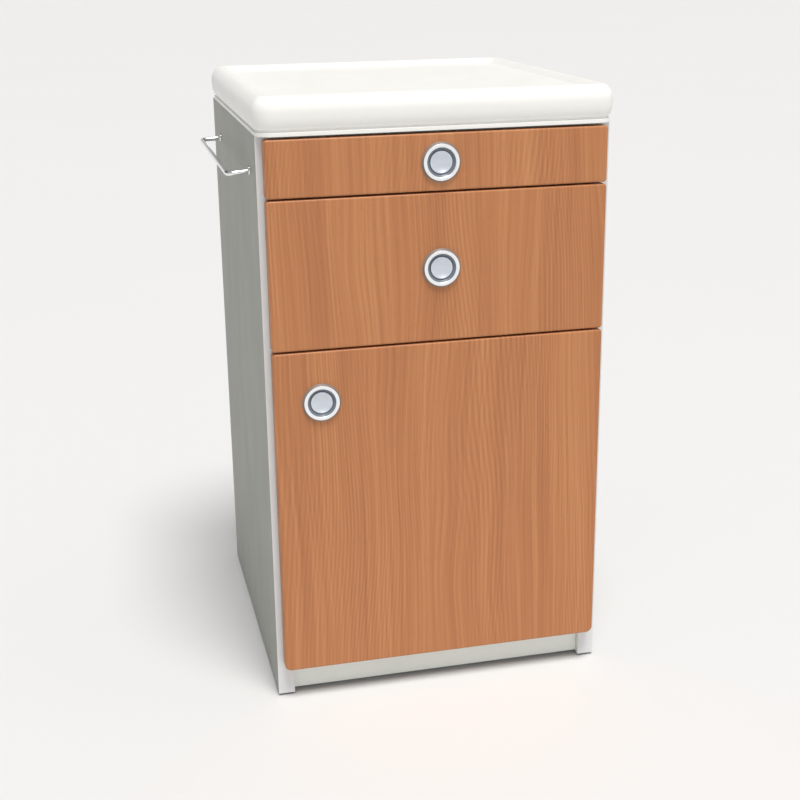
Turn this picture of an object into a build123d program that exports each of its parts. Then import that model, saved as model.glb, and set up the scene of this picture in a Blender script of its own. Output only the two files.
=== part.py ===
"""Bedside cabinet: two push-lock drawers over a hinged cupboard, a moulded top and a side rail.

Frame: +Z up, +X to the cabinet's right as seen from its front, the front faces -Y.
The origin is on the floor, at the centre of the body's footprint. All sizes are in millimetres.
"""
from build123d import *
import math
import os

# Driving dimensions: body
WIDTH = 450.0
DEPTH = 460.0
HEIGHT = 800.0
SIDE_T = 22.0
BOARD_T = 16.0
EDGING_T = 1.0
GLIDE_H = 3.0
BACK_T = 6.0
RAIL_SET_BACK = 2.0
PLINTH_T = 15.0
PLINTH_SET_BACK = 8.0
PLINTH_LIFT = 6.0
BASE_Z = 56.0
DIVIDER_Z = 479.0
MIDDLE_RAIL_Z = 670.0
MIDDLE_RAIL_DEPTH = 60.0
TOP_RAIL_DEPTH = 80.0
BACK_SET_BACK = 2.0
GLIDE_R = 9.0
GLIDE_INSET = 30.0

# Driving dimensions: shelf, its pegs and the screws that show
SHELF_Z = 272.0
SHELF_SIDE_GAP = 1.0
SHELF_REAR_GAP = 1.0
SHELF_SET_BACK = 42.0
PEG_R = 2.5
PEG_LENGTH = 9.0
PEG_Y = (-150.0, 180.0)
SCREW_HEAD_R = 3.6
TOP_SCREW_HEAD_T = 2.0
TOP_SCREW_X = 120.0
TOP_SCREW_Y = (-190.0, 185.0)
BACK_SCREW_HEAD_T = 1.6
BACK_SCREW_X = 190.0
BACK_SCREW_Z = (30.0, 270.0, 510.0, 740.0)

# Driving dimensions: moulded top
TOP_H = 47.0
TOP_SIDE_OVERHANG = 3.0
TOP_FRONT_OVERHANG = 20.0
TOP_REAR_OVERHANG = 5.0
TOP_CORNER_R = 24.0
TOP_EDGE_R = 13.0
NOSE_UNDER_R = 4.5
TOP_WALL = 3.0
TRAY_INSET = 25.0
TRAY_DEPTH = 6.0
LIP_H = 5.0
LIP_INSET = 3.0
GROOVE_H = 3.0
GROOVE_DEPTH = 5.0
RIB_T = 4.0
RIB_X = (-110.0, 0.0, 110.0)
CORE_T = 18.0
CORE_GAP = 1.0

# Driving dimensions: fronts
FRONT_T = 15.0
FRONT_GAP = 2.5
FRONT_SIDE_INSET = 8.0
FRONT_CORNER_R = 4.0
DOOR_LOWER_CORNER_R = 9.0
FRONT_EDGE_R = 2.4
HINGE_EDGE_R = 4.0
DRAWER_1_FRONT = (679.2, 749.8)
DRAWER_2_FRONT = (488.2, 676.8)
DOOR_FRONT = (45.2, 485.8)

# Driving dimensions: drawer boxes and their three-part slides
BOX_T = 12.0
BOX_BOTTOM_T = 4.0
BOX_BOTTOM_LIFT = 3.0
BOX_REAR_Y = 170.0
BOX_GROOVE = 6.0
DRAWER_1_BOX = (691.0, 731.0)
DRAWER_2_BOX = (507.0, 637.0)
SLIDE_SPACE = 12.7
SLIDE_LENGTH = 400.0
SLIDE_T = 1.2
DRAWER_1_SLIDE_Z = 712.0
DRAWER_2_SLIDE_Z = 560.0
SLIDE_SET_BACK = 4.0
OUTER_HALF = 13.5
OUTER_TIP = 7.5
MIDDLE_HALF = 10.8
MIDDLE_WEB = 3.2
MIDDLE_TIP = 10.2
INNER_HALF = 9.3
INNER_TIP = 5.4

# Driving dimensions: push locks
ROSETTE_R = 25.0
ROSETTE_BASE = 1.2
ROSETTE_CREST = 4.2
CREST_OUTER_R = 21.6
CREST_INNER_R = 18.6
CREST_CHAMFER = (0.6, 0.8)
CONE_R = 15.4
CONE_H = 0.6
THROAT_H = 0.4
BUTTON_R = 14.0
BUTTON_CLEAR = 0.4
BUTTON_TAIL = 4.0
BUTTON_TAIL_R = 10.0
BUTTON_SUNK = 2.4
DISH_DEPTH = 2.6
DISH_CHORD = 12.6
SPIGOT_R = 17.0
CASE_LENGTH = 44.0
CASE_WIDTH = 28.0
CASE_DEPTH = 14.0
CASE_WALL = 1.6
BOLT_W = 10.0
BOLT_T = 2.0
BOLT_BEHIND_FRONT = 7.0
BOLT_FOOT = 4.0
BOLT_SHORT = 0.9
BOLT_CLEAR = 0.4
DOOR_LOCK_X = -157.0
DOOR_LOCK_BELOW_TOP = 66.8
KEEPER_T = 1.5
KEEPER_DEPTH = 20.0
KEEPER_LIP = 3.0
KEEPER_W = 24.0

# Driving dimensions: single-pivot cup hinges
HINGE_Z = (131.0, 400.0)
PIVOT_FROM_EDGE = 8.0
PIVOT_R = 1.4
KNUCKLE_R = 2.6
KNUCKLE_HALF = 5.0
PIVOT_CLEAR = 0.05
CUP_R = 20.0
CUP_WALL = 1.0
PIN_SHORT = 0.2
CUP_DEPTH = 11.5
CUP_FROM_EDGE = 23.0
EAR_HALF = 9.0
EAR_REACH = 30.0
EAR_T = 1.2
CUP_SCREW_OFFSET = 24.6
CUP_SCREW_R = 3.0
CUP_SCREW_HEAD_T = 0.6
ARM_T = 2.0
ARM_HALF = 7.0
ARM_OFFSET = 8.5
ARM_REAR_Y = -175.0
PLATE_HALF = 12.0
PLATE_FRONT_Y = -221.0
PLATE_REAR_Y = -165.0
BUFFER_R = 4.0
BUFFER_T = 2.0
BUFFER_INWARDS = 2.0
BUFFER_Z = (80.0, 450.0)

# Driving dimensions: side rail
WIRE_R = 3.0
RAIL_REACH = 28.0
RAIL_Z = 704.0
RAIL_DROP = 3.0
RAIL_FRONT_Y = -172.0
RAIL_REAR_Y = 152.0
RAIL_BEND_R = 9.0
RAIL_EMBED = 12.0
FERRULE_R = 5.5
FERRULE_T = 2.0

# Derived places
HALF = WIDTH / 2
INNER = HALF - SIDE_T
FRONT_Y = -DEPTH / 2
REAR_Y = DEPTH / 2
BODY_TOP = HEIGHT - TOP_H
BACK_Y = REAR_Y - BACK_SET_BACK - BACK_T
FRONT_BACK_FACE = FRONT_Y - FRONT_GAP
FRONT_FACE = FRONT_BACK_FACE - FRONT_T
FRONT_HALF = HALF - FRONT_SIDE_INSET
BOX_HALF = INNER - SLIDE_SPACE
DRAWER_1_LOCK_Z = sum(DRAWER_1_FRONT) / 2
DRAWER_2_LOCK_Z = sum(DRAWER_2_FRONT) / 2
DOOR_LOCK_Z = DOOR_FRONT[1] - DOOR_LOCK_BELOW_TOP
PIVOT_X = FRONT_HALF - PIVOT_FROM_EDGE
PIVOT_Y = FRONT_BACK_FACE - FRONT_T / 2
CUP_X = FRONT_HALF - CUP_FROM_EDGE
SLIDE_FRONT_Y = FRONT_Y + SLIDE_SET_BACK
SLIDE_REAR_Y = SLIDE_FRONT_Y + SLIDE_LENGTH
BOLT_Y = FRONT_BACK_FACE + BOLT_BEHIND_FRONT


def block(x0, x1, y0, y1, z0, z1):
    """An axis-aligned board between two corners."""
    return Pos((x0 + x1) / 2, (y0 + y1) / 2, (z0 + z1) / 2) * Box(x1 - x0, y1 - y0, z1 - z0)


def rod(axis, at, radius, length):
    """A cylinder that starts at a point and runs along +X, -X, +Y, -Y, +Z or -Z."""
    plane = Plane(origin=at, z_dir=axis)
    return extrude(plane * Circle(radius), length)


def turned(at, outline):
    """A body of revolution about the Y axis through a point; outline holds (radius, y) corners."""
    profile = make_face(Polyline([(r, y) for r, y in outline], close=True))
    solid = revolve(profile, Axis.Y, 360)
    return Pos(*at) * solid


def mirrored(shape):
    """The same shape on the other side of the cabinet."""
    return mirror(shape, Plane.YZ)


def pair(shape):
    """A left and a right piece as two solids."""
    return Compound(children=[shape, mirrored(shape)])


def group(shapes):
    """Separate solids that share one node."""
    return Compound(children=list(shapes))


# Carcass

def rail_hole(y):
    """The blind hole that holds one end of the side rail."""
    return rod((1, 0, 0), (-HALF - 1, y, RAIL_Z), WIRE_R, RAIL_EMBED + 1)


def side_panel_left():
    panel = block(-HALF, -INNER, FRONT_Y + EDGING_T, REAR_Y, GLIDE_H, BODY_TOP)
    return panel - rail_hole(RAIL_FRONT_Y) - rail_hole(RAIL_REAR_Y)


def side_panel_right():
    return block(INNER, HALF, FRONT_Y + EDGING_T, REAR_Y, GLIDE_H, BODY_TOP)


def front_edging():
    return pair(block(INNER, HALF, FRONT_Y, FRONT_Y + EDGING_T, GLIDE_H, BODY_TOP))


def inner_board(y0, y1, z0, z1):
    """A board that spans between the side panels."""
    return block(-INNER, INNER, y0, y1, z0, z1)


def carcass_boards():
    front = FRONT_Y + RAIL_SET_BACK
    plinth_y = FRONT_Y + PLINTH_SET_BACK
    return {
        "base_panel": inner_board(front, BACK_Y, BASE_Z, BASE_Z + BOARD_T),
        "plinth_front": inner_board(plinth_y, plinth_y + PLINTH_T, PLINTH_LIFT, BASE_Z),
        "plinth_rear": inner_board(BACK_Y - PLINTH_T, BACK_Y, PLINTH_LIFT, BASE_Z),
        "divider_panel": inner_board(front, BACK_Y, DIVIDER_Z, DIVIDER_Z + BOARD_T),
        "middle_rail": inner_board(front, front + MIDDLE_RAIL_DEPTH,
                                   MIDDLE_RAIL_Z, MIDDLE_RAIL_Z + BOARD_T),
        "top_rail_front": inner_board(front, front + TOP_RAIL_DEPTH, BODY_TOP - BOARD_T, BODY_TOP),
        "top_rail_rear": inner_board(BACK_Y - TOP_RAIL_DEPTH, BACK_Y, BODY_TOP - BOARD_T, BODY_TOP),
        "back_panel": inner_board(BACK_Y, BACK_Y + BACK_T, PLINTH_LIFT, BODY_TOP),
    }


def shelf():
    edge = INNER - SHELF_SIDE_GAP
    front, rear = FRONT_Y + SHELF_SET_BACK, BACK_Y - SHELF_REAR_GAP
    return block(-edge, edge, front, rear, SHELF_Z, SHELF_Z + BOARD_T)


def shelf_pegs():
    pegs = []
    for y in PEG_Y:
        for side in (-1, 1):
            start = (side * INNER, y, SHELF_Z - PEG_R)
            pegs.append(rod((-side, 0, 0), start, PEG_R, PEG_LENGTH))
    return group(pegs)


def floor_glides():
    glides = []
    for x in (-HALF + SIDE_T / 2, HALF - SIDE_T / 2):
        for y in (FRONT_Y + GLIDE_INSET, REAR_Y - GLIDE_INSET):
            glides.append(rod((0, 0, 1), (x, y, 0), GLIDE_R, GLIDE_H))
    return group(glides)


def screw_heads(axis, places, radius, thickness):
    """Shallow screw heads that stand on a face."""
    return group(rod(axis, at, radius, thickness) for at in places)


def top_fixing_screws():
    """Screw heads under the two top rails, which hold the top's core board."""
    under = BODY_TOP - BOARD_T
    places = [(x, y, under) for x in (-TOP_SCREW_X, TOP_SCREW_X) for y in TOP_SCREW_Y]
    return screw_heads((0, 0, -1), places, SCREW_HEAD_R, TOP_SCREW_HEAD_T)


def back_panel_screws():
    """Screw heads on the cabinet's back, near its side panels."""
    face = BACK_Y + BACK_T
    places = [(x, face, z) for x in (-BACK_SCREW_X, BACK_SCREW_X) for z in BACK_SCREW_Z]
    return screw_heads((0, 1, 0), places, SCREW_HEAD_R, BACK_SCREW_HEAD_T)


# Moulded top

def rounded_slab(x_half, y0, y1, z0, z1, corner):
    """A plate with rounded corners in plan."""
    outline = Pos(0, (y0 + y1) / 2) * RectangleRounded(2 * x_half, y1 - y0, corner)
    return extrude(Pos(0, 0, z0) * outline, z1 - z0)


def top_plan():
    return HALF + TOP_SIDE_OVERHANG, FRONT_Y - TOP_FRONT_OVERHANG, REAR_Y + TOP_REAR_OVERHANG


def top_layer(inset, z0, z1, corner):
    """A rounded slab with the top's own plan, moved inwards all round."""
    half, y0, y1 = top_plan()
    return rounded_slab(half - inset, y0 + inset, y1 - inset, z0, z1, corner)


def top_nose():
    """The thick upper part of the top, rounded above and beneath."""
    nose = top_layer(0, BODY_TOP + LIP_H + GROOVE_H, HEIGHT, TOP_CORNER_R)
    nose = fillet(nose.edges().group_by(Axis.Z)[-1], TOP_EDGE_R)
    return fillet(nose.edges().group_by(Axis.Z)[0], NOSE_UNDER_R)


def top_shell():
    """A hollow moulding: a nose over a groove and a lip, a shallow tray above and ribs inside."""
    lip = top_layer(LIP_INSET, BODY_TOP, BODY_TOP + LIP_H, TOP_CORNER_R - LIP_INSET)
    neck = top_layer(GROOVE_DEPTH, BODY_TOP, HEIGHT - TOP_EDGE_R, TOP_CORNER_R - GROOVE_DEPTH)
    shell = top_nose() + neck + lip
    shell -= top_layer(TRAY_INSET, HEIGHT - TRAY_DEPTH, HEIGHT + 1, TOP_CORNER_R / 2)
    inside = TOP_WALL + GROOVE_DEPTH
    ceiling = HEIGHT - TRAY_DEPTH - TOP_WALL
    shell -= top_layer(inside, BODY_TOP - 1, ceiling, TOP_CORNER_R - inside)
    half, y0, y1 = top_plan()
    core_top = BODY_TOP + CORE_T
    for x in RIB_X:
        shell += block(x - RIB_T / 2, x + RIB_T / 2, y0 + inside, y1 - inside, core_top, ceiling)
    return shell


def top_core():
    """The board inside the moulded top, which rests on the side panels and rails."""
    inset = TOP_WALL + GROOVE_DEPTH + CORE_GAP
    return top_layer(inset, BODY_TOP, BODY_TOP + CORE_T, TOP_CORNER_R - inset)


# Side rail

def towel_rail():
    x_out = -HALF - RAIL_REACH
    x_in = -HALF + RAIL_EMBED
    points = [
        (x_in, RAIL_FRONT_Y, RAIL_Z),
        (-HALF - FERRULE_T, RAIL_FRONT_Y, RAIL_Z),
        (x_out, RAIL_FRONT_Y, RAIL_Z - RAIL_DROP),
        (x_out, RAIL_REAR_Y, RAIL_Z - RAIL_DROP),
        (-HALF - FERRULE_T, RAIL_REAR_Y, RAIL_Z),
        (x_in, RAIL_REAR_Y, RAIL_Z),
    ]
    path = FilletPolyline(*points, radius=[RAIL_BEND_R] * 4)
    section = Plane(origin=path @ 0, z_dir=path % 0) * Circle(WIRE_R)
    return sweep(section, path=path)


def rail_ferrules():
    rings = []
    for y in (RAIL_FRONT_Y, RAIL_REAR_Y):
        disc = rod((-1, 0, 0), (-HALF, y, RAIL_Z), FERRULE_R, FERRULE_T)
        rings.append(disc - rod((-1, 0, 0), (-HALF + 1, y, RAIL_Z), WIRE_R, FERRULE_T + 2))
    return group(rings)


# Drawer slides, drawn on the right-hand side about a height z

def channel(x_web, x_tips, half, z, y0, y1):
    """A C-shaped strip: a web at one x and two flanges that reach to another x."""
    toward = 1.0 if x_tips > x_web else -1.0
    web_in = x_web + toward * SLIDE_T
    x0, x1 = sorted((x_web, x_tips))
    solid = block(x0, x1, y0, y1, z - half, z + half)
    hollow_x = sorted((web_in, x_tips + toward))
    return solid - block(hollow_x[0], hollow_x[1], y0 - 1, y1 + 1,
                         z - half + SLIDE_T, z + half - SLIDE_T)


def slide_pair(x_web, x_tips, half, z):
    """One part of a drawer's slides, on both sides, closed."""
    return pair(channel(x_web, x_tips, half, z, SLIDE_FRONT_Y, SLIDE_REAR_Y))


def slide_outer(z):
    return slide_pair(INNER, INNER - OUTER_TIP, OUTER_HALF, z)


def slide_middle(z):
    return slide_pair(INNER - MIDDLE_WEB, INNER - MIDDLE_TIP, MIDDLE_HALF, z)


def slide_inner(z):
    return slide_pair(BOX_HALF, BOX_HALF + INNER_TIP, INNER_HALF, z)


# Drawer boxes

def drawer_parts(name, box_z, front_z, lock_z):
    z0, z1 = box_z
    inside = BOX_HALF - BOX_T
    bottom_z = z0 + BOX_BOTTOM_LIFT
    bottom_half = inside + BOX_GROOVE
    bottom = block(-bottom_half, bottom_half, FRONT_BACK_FACE, BOX_REAR_Y, bottom_z,
                   bottom_z + BOX_BOTTOM_T)
    side = block(inside, BOX_HALF, FRONT_BACK_FACE, BOX_REAR_Y, z0, z1) - bottom
    back = block(-inside, inside, BOX_REAR_Y - BOX_T, BOX_REAR_Y, bottom_z + BOX_BOTTOM_T, z1)
    return {
        name + "_front": front_panel(front_z, FRONT_CORNER_R, 0.0, lock_z),
        name + "_side_left": mirrored(side),
        name + "_side_right": side,
        name + "_back": back,
        name + "_bottom": bottom,
    }


# Fronts

def front_panel(z_range, lower_corner, lock_x, lock_z, hinge_side=False):
    """A pressed front with rounded corners, soft front edges and a round hole for its lock."""
    z0, z1 = z_range
    outline = Rectangle(2 * FRONT_HALF, z1 - z0)
    outline = fillet(outline.vertices().group_by(Axis.Y)[-1], FRONT_CORNER_R)
    outline = fillet(outline.vertices().group_by(Axis.Y)[0], lower_corner)
    face = Plane(origin=(0, FRONT_BACK_FACE, (z0 + z1) / 2), x_dir=(1, 0, 0), z_dir=(0, -1, 0))
    panel = extrude(face * outline, FRONT_T)
    panel = fillet(panel.edges().group_by(Axis.Y)[0], FRONT_EDGE_R)
    if hinge_side:
        rear = panel.edges().group_by(Axis.Y)[-1]
        straight = rear.sort_by(Axis.X)[-1]
        panel = fillet(straight, HINGE_EDGE_R)
    hole = rod((0, -1, 0), (lock_x, FRONT_BACK_FACE + 1, lock_z), SPIGOT_R, FRONT_T + 2)
    return panel - hole


def door_panel():
    panel = front_panel(DOOR_FRONT, DOOR_LOWER_CORNER_R, DOOR_LOCK_X, DOOR_LOCK_Z, hinge_side=True)
    for z in HINGE_Z:
        panel -= rod((0, -1, 0), (CUP_X, FRONT_BACK_FACE + 1, z), CUP_R, CUP_DEPTH + 1)
    return panel


# Push locks

def rosette(x, z):
    """The ring on the front: a flange, a raised crest and a dished throat, with a spigot behind."""
    throat = BUTTON_R + BUTTON_CLEAR
    across, down = CREST_CHAMFER
    outline = [
        (throat, FRONT_T), (SPIGOT_R, FRONT_T), (SPIGOT_R, 0.0), (ROSETTE_R, 0.0),
        (ROSETTE_R, -ROSETTE_BASE), (CREST_OUTER_R, down - ROSETTE_CREST),
        (CREST_OUTER_R - across, -ROSETTE_CREST), (CREST_INNER_R + across, -ROSETTE_CREST),
        (CREST_INNER_R, down - ROSETTE_CREST), (CONE_R, -CONE_H), (throat, -THROAT_H),
    ]
    return turned((x, FRONT_FACE, z), outline)


def button(x, z):
    """The push button: a dished head on a barrel with a thinner tail, sunk inside the ring's crest."""
    top = -ROSETTE_CREST + BUTTON_SUNK
    tail_end = FRONT_T + BUTTON_TAIL
    outline = [(0, tail_end), (BUTTON_TAIL_R, tail_end), (BUTTON_TAIL_R, FRONT_T), (BUTTON_R, FRONT_T),
               (BUTTON_R, top), (0, top)]
    head = turned((x, FRONT_FACE, z), outline)
    bowl_r = (DISH_CHORD ** 2 + DISH_DEPTH ** 2) / (2 * DISH_DEPTH)
    bowl = Pos(x, FRONT_FACE + top + DISH_DEPTH - bowl_r, z) * Sphere(bowl_r)
    return head - bowl


def oriented(shape, x, z, turn):
    """Turns a lock piece, drawn with its bolt upwards at the origin, and puts it on a front."""
    return Pos(x, 0, z) * Rotation(0, turn, 0) * shape


def lock_case():
    """The housing behind a front, hollow, with a slot for its bolt."""
    y0, y1 = FRONT_BACK_FACE, FRONT_BACK_FACE + CASE_DEPTH
    half_w, half_l = CASE_LENGTH / 2, CASE_WIDTH / 2
    case = block(-half_w, half_w, y0, y1, -half_l, half_l)
    case -= block(-half_w + CASE_WALL, half_w - CASE_WALL, y0 - 1, y1 - CASE_WALL,
                  -half_l + CASE_WALL, half_l - CASE_WALL)
    slot_half = BOLT_W / 2 + BOLT_CLEAR
    return case - block(-slot_half, slot_half, BOLT_Y - BOLT_CLEAR, BOLT_Y + BOLT_T + BOLT_CLEAR,
                        0, half_l + 1)


def lock_bolt(reach):
    """A flat steel bolt that runs from inside the case to its tip, a given reach from the lock."""
    return block(-BOLT_W / 2, BOLT_W / 2, BOLT_Y, BOLT_Y + BOLT_T, BOLT_FOOT, reach)


def keeper(inner_face):
    """An angle whose lip hangs in front of the bolt's tip; inner_face is its mounting height."""
    y0 = FRONT_Y + RAIL_SET_BACK
    leg = block(-KEEPER_W / 2, KEEPER_W / 2, y0, y0 + KEEPER_DEPTH, inner_face - KEEPER_T, inner_face)
    lip = block(-KEEPER_W / 2, KEEPER_W / 2, y0, y0 + KEEPER_T,
                inner_face - KEEPER_T - KEEPER_LIP, inner_face - KEEPER_T)
    return leg + lip


def lock_sets():
    """Three identical locks; each entry gives a name, its place, its turn and its keeper's distance."""
    return [
        ("drawer_1", 0.0, DRAWER_1_LOCK_Z, 0, BODY_TOP - BOARD_T - DRAWER_1_LOCK_Z),
        ("drawer_2", 0.0, DRAWER_2_LOCK_Z, 0, MIDDLE_RAIL_Z - DRAWER_2_LOCK_Z),
        ("door", DOOR_LOCK_X, DOOR_LOCK_Z, -90, INNER + DOOR_LOCK_X),
    ]


def lock_parts():
    nodes = {}
    keepers = []
    for name, x, z, turn, distance in lock_sets():
        tip = distance - KEEPER_T - KEEPER_LIP - BOLT_SHORT
        nodes[name + "_rosette"] = rosette(x, z)
        nodes[name + "_button"] = button(x, z)
        nodes[name + "_lock_case"] = oriented(lock_case(), x, z, turn)
        nodes[name + "_bolt"] = oriented(lock_bolt(tip), x, z, turn)
        keepers.append(oriented(keeper(distance), x, z, turn))
    nodes["keepers"] = group(keepers)
    return nodes


# Hinges

def hinge_cup(z):
    """The cup in the door, with an ear above and below it for its screws."""
    back = FRONT_BACK_FACE
    cup = rod((0, -1, 0), (CUP_X, back, z), CUP_R, CUP_DEPTH)
    ears = block(CUP_X - EAR_HALF, CUP_X + EAR_HALF, back, back + EAR_T, z - EAR_REACH, z + EAR_REACH)
    cavity = rod((0, -1, 0), (CUP_X, back + EAR_T + 1, z), CUP_R - CUP_WALL,
                 CUP_DEPTH - CUP_WALL + EAR_T + 1)
    pin_hole = rod((0, 0, 1), (PIVOT_X, PIVOT_Y, z - CUP_R), PIVOT_R, 2 * CUP_R)
    return cup + ears - cavity - pin_hole


def hinge_pin(z):
    outer = PIVOT_X + PIVOT_R - CUP_X
    reach = math.sqrt((CUP_R - PIN_SHORT) ** 2 - outer ** 2)
    return rod((0, 0, 1), (PIVOT_X, PIVOT_Y, z - reach), PIVOT_R, 2 * reach)


def hinge_arm(z):
    """A cranked arm on the cabinet's side, with a knuckle round the pin inside the cup."""
    x1 = PIVOT_X - ARM_OFFSET
    x0 = x1 - ARM_T
    foot_y0 = PIVOT_Y - ARM_T / 2
    arm = block(x0, x1, foot_y0, ARM_REAR_Y, z - ARM_HALF, z + ARM_HALF)
    foot = block(x0, PIVOT_X, foot_y0, foot_y0 + ARM_T, z - KNUCKLE_HALF, z + KNUCKLE_HALF)
    knuckle = rod((0, 0, 1), (PIVOT_X, PIVOT_Y, z - KNUCKLE_HALF), KNUCKLE_R, 2 * KNUCKLE_HALF)
    plate = block(x1, INNER, PLATE_FRONT_Y, PLATE_REAR_Y, z - PLATE_HALF, z + PLATE_HALF)
    bore = rod((0, 0, 1), (PIVOT_X, PIVOT_Y, z - CUP_R), PIVOT_R + PIVOT_CLEAR, 2 * CUP_R)
    return arm + foot + knuckle + plate - bore


def hinge_screws():
    """Screw heads that hold each cup to the door."""
    face = FRONT_BACK_FACE + EAR_T
    places = [(CUP_X, face, z + s * CUP_SCREW_OFFSET) for z in HINGE_Z for s in (-1, 1)]
    return screw_heads((0, 1, 0), places, CUP_SCREW_R, CUP_SCREW_HEAD_T)


def door_buffers():
    """Soft round pads on the latch side, which the door closes against."""
    x = -HALF + SIDE_T / 2 + BUFFER_INWARDS
    return group(rod((0, -1, 0), (x, FRONT_Y, z), BUFFER_R, BUFFER_T) for z in BUFFER_Z)


def all_nodes():
    nodes = {
        "side_panel_left": side_panel_left(),
        "side_panel_right": side_panel_right(),
        "front_edging": front_edging(),
        "shelf": shelf(),
        "shelf_pegs": shelf_pegs(),
        "floor_glides": floor_glides(),
        "top_fixing_screws": top_fixing_screws(),
        "back_panel_screws": back_panel_screws(),
        "top_shell": top_shell(),
        "top_core": top_core(),
        "towel_rail": towel_rail(),
        "rail_ferrules": rail_ferrules(),
        "drawer_1_slide_outer": slide_outer(DRAWER_1_SLIDE_Z),
        "drawer_1_slide_middle": slide_middle(DRAWER_1_SLIDE_Z),
        "drawer_1_slide_inner": slide_inner(DRAWER_1_SLIDE_Z),
        "drawer_2_slide_outer": slide_outer(DRAWER_2_SLIDE_Z),
        "drawer_2_slide_middle": slide_middle(DRAWER_2_SLIDE_Z),
        "drawer_2_slide_inner": slide_inner(DRAWER_2_SLIDE_Z),
        "door_panel": door_panel(),
        "hinge_cup_lower": hinge_cup(HINGE_Z[0]),
        "hinge_cup_upper": hinge_cup(HINGE_Z[1]),
        "hinge_arm_lower": hinge_arm(HINGE_Z[0]),
        "hinge_arm_upper": hinge_arm(HINGE_Z[1]),
        "hinge_pins": group(hinge_pin(z) for z in HINGE_Z),
        "hinge_screws": hinge_screws(),
        "door_buffers": door_buffers(),
    }
    nodes.update(carcass_boards())
    nodes.update(drawer_parts("drawer_1", DRAWER_1_BOX, DRAWER_1_FRONT, DRAWER_1_LOCK_Z))
    nodes.update(drawer_parts("drawer_2", DRAWER_2_BOX, DRAWER_2_FRONT, DRAWER_2_LOCK_Z))
    nodes.update(lock_parts())
    return nodes


os.makedirs("parts", exist_ok=True)
for node, shape in all_nodes().items():
    export_step(shape, "parts/" + node + ".step")
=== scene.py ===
# The looks of a bedside cabinet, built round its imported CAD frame.
# Metres, +Z up, +X to the cabinet's right as seen from its front, the front faces -Y.
import math

import bmesh
import bpy
from mathutils import Matrix, Vector


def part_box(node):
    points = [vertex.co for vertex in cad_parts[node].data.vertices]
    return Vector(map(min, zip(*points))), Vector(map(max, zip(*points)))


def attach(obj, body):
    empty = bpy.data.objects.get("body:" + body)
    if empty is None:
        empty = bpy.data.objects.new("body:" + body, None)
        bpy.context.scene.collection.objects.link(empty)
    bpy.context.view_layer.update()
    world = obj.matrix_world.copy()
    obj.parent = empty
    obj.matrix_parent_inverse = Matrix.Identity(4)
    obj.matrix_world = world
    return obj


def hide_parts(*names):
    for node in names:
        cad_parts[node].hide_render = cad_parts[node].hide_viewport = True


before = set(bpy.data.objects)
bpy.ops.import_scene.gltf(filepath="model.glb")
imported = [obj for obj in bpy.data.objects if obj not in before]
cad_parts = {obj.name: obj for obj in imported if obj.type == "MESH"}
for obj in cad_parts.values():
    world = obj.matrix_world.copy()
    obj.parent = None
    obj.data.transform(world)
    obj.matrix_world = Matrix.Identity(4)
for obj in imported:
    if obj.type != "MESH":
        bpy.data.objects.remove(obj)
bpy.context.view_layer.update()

MM = 0.001
DRAWERS = ("drawer_1", "drawer_2")
LOCKS = DRAWERS + ("door",)

# Camera: where it stands, how it is turned in degrees, its lens in millimetres
CAMERA_AT = (-0.433, -1.850, 0.965)
CAMERA_YAW = 13.27
CAMERA_PITCH = 17.52
CAMERA_ROLL = -0.76
CAMERA_LENS = 61.1
CAMERA_SHIFT = -0.03

# Light: a soft high sun and a studio that is brightest overhead, in front of the cabinet
SUN_AZIMUTH = 7.0
SUN_ELEVATION = 72.0
SUN_STRENGTH = 3.1
SUN_ANGLE = 24.0
SUN_COLOUR = (1.0, 0.985, 0.96)
SUN_DISTANCE = 4.0
SKY_TOWARDS = (0.25, -0.50, 0.83)
SKY_DARK = 0.10
SKY_BRIGHT = 0.52
SKY_SPREAD = (-0.3, 0.95)
SKY_HORIZON = 0.78
SKY_BAND = (0.03, 0.28)
FLOOR_HALF = 30.0
FLOOR_DARK = (0.685, 0.685, 0.685, 1)
FLOOR_LIGHT = (0.70, 0.70, 0.70, 1)

# Moulded top: the nose is given as how far in and how far down its lower and upper curves run
TOP_CORNER_R = 24 * MM
TRAY_CORNER_R = 12 * MM
TOP_WALL = 8 * MM
CEILING_DROP = 9 * MM
LIP_H = 5 * MM
LIP_IN = 3 * MM
LIP_EDGE_R = 0.7 * MM
GROOVE_H = 3 * MM
GROOVE_IN = 5 * MM
NOSE_LOW = (5 * MM, 17 * MM)
NOSE_HIGH = (14 * MM, 19 * MM)
NOSE_FROM = math.radians(8)
TRAY_INSET = 19 * MM
TRAY_SLOPE = 10 * MM
TRAY_DEPTH = 6 * MM
TRAY_EDGE_R = 3 * MM
TRAY_RIM_LEAD = 2 * MM
TRAY_FLOOR_LEAD = 4 * MM

# Fronts
FRONT_CORNER_R = 4 * MM
DOOR_LOWER_CORNER_R = 9 * MM
FRONT_EDGE_R = 2.4 * MM
BACK_EDGE_R = 0.6 * MM
HINGE_EDGE_R = 2.6 * MM
FACE_MARGIN = 0.6 * MM
REAR_SKIN = 0.05 * MM
CUP_R = 20 * MM
CUP_DEPTH = 11.5 * MM
HOLE_STEPS = 48

# Lock rings: radii, and heights above the front or, on the crest, depths below its top
SPIGOT_R = 17 * MM
RING_LIFT = 0.05 * MM
RING_FLANGE_H = 0.9 * MM
RING_STEP = (24.0 * MM, 1.3 * MM)
RING_CREST = ((22.9 * MM, 0.6 * MM), (21.6 * MM, 0.0), (19.6 * MM, 0.0), (18.5 * MM, 0.7 * MM))
RING_FLOOR = (15.0 * MM, 0.5 * MM)
RING_THROAT = (14.4 * MM, 0.4 * MM)
RING_EDGE_R = 0.6 * MM
# Faces nearer the centre than CONE_R take the cone's painted shade; faces beyond FLANK_R take the
# flank's painted reflection
CONE_R = 18.2 * MM
FLANK_R = 22.6 * MM

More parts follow.
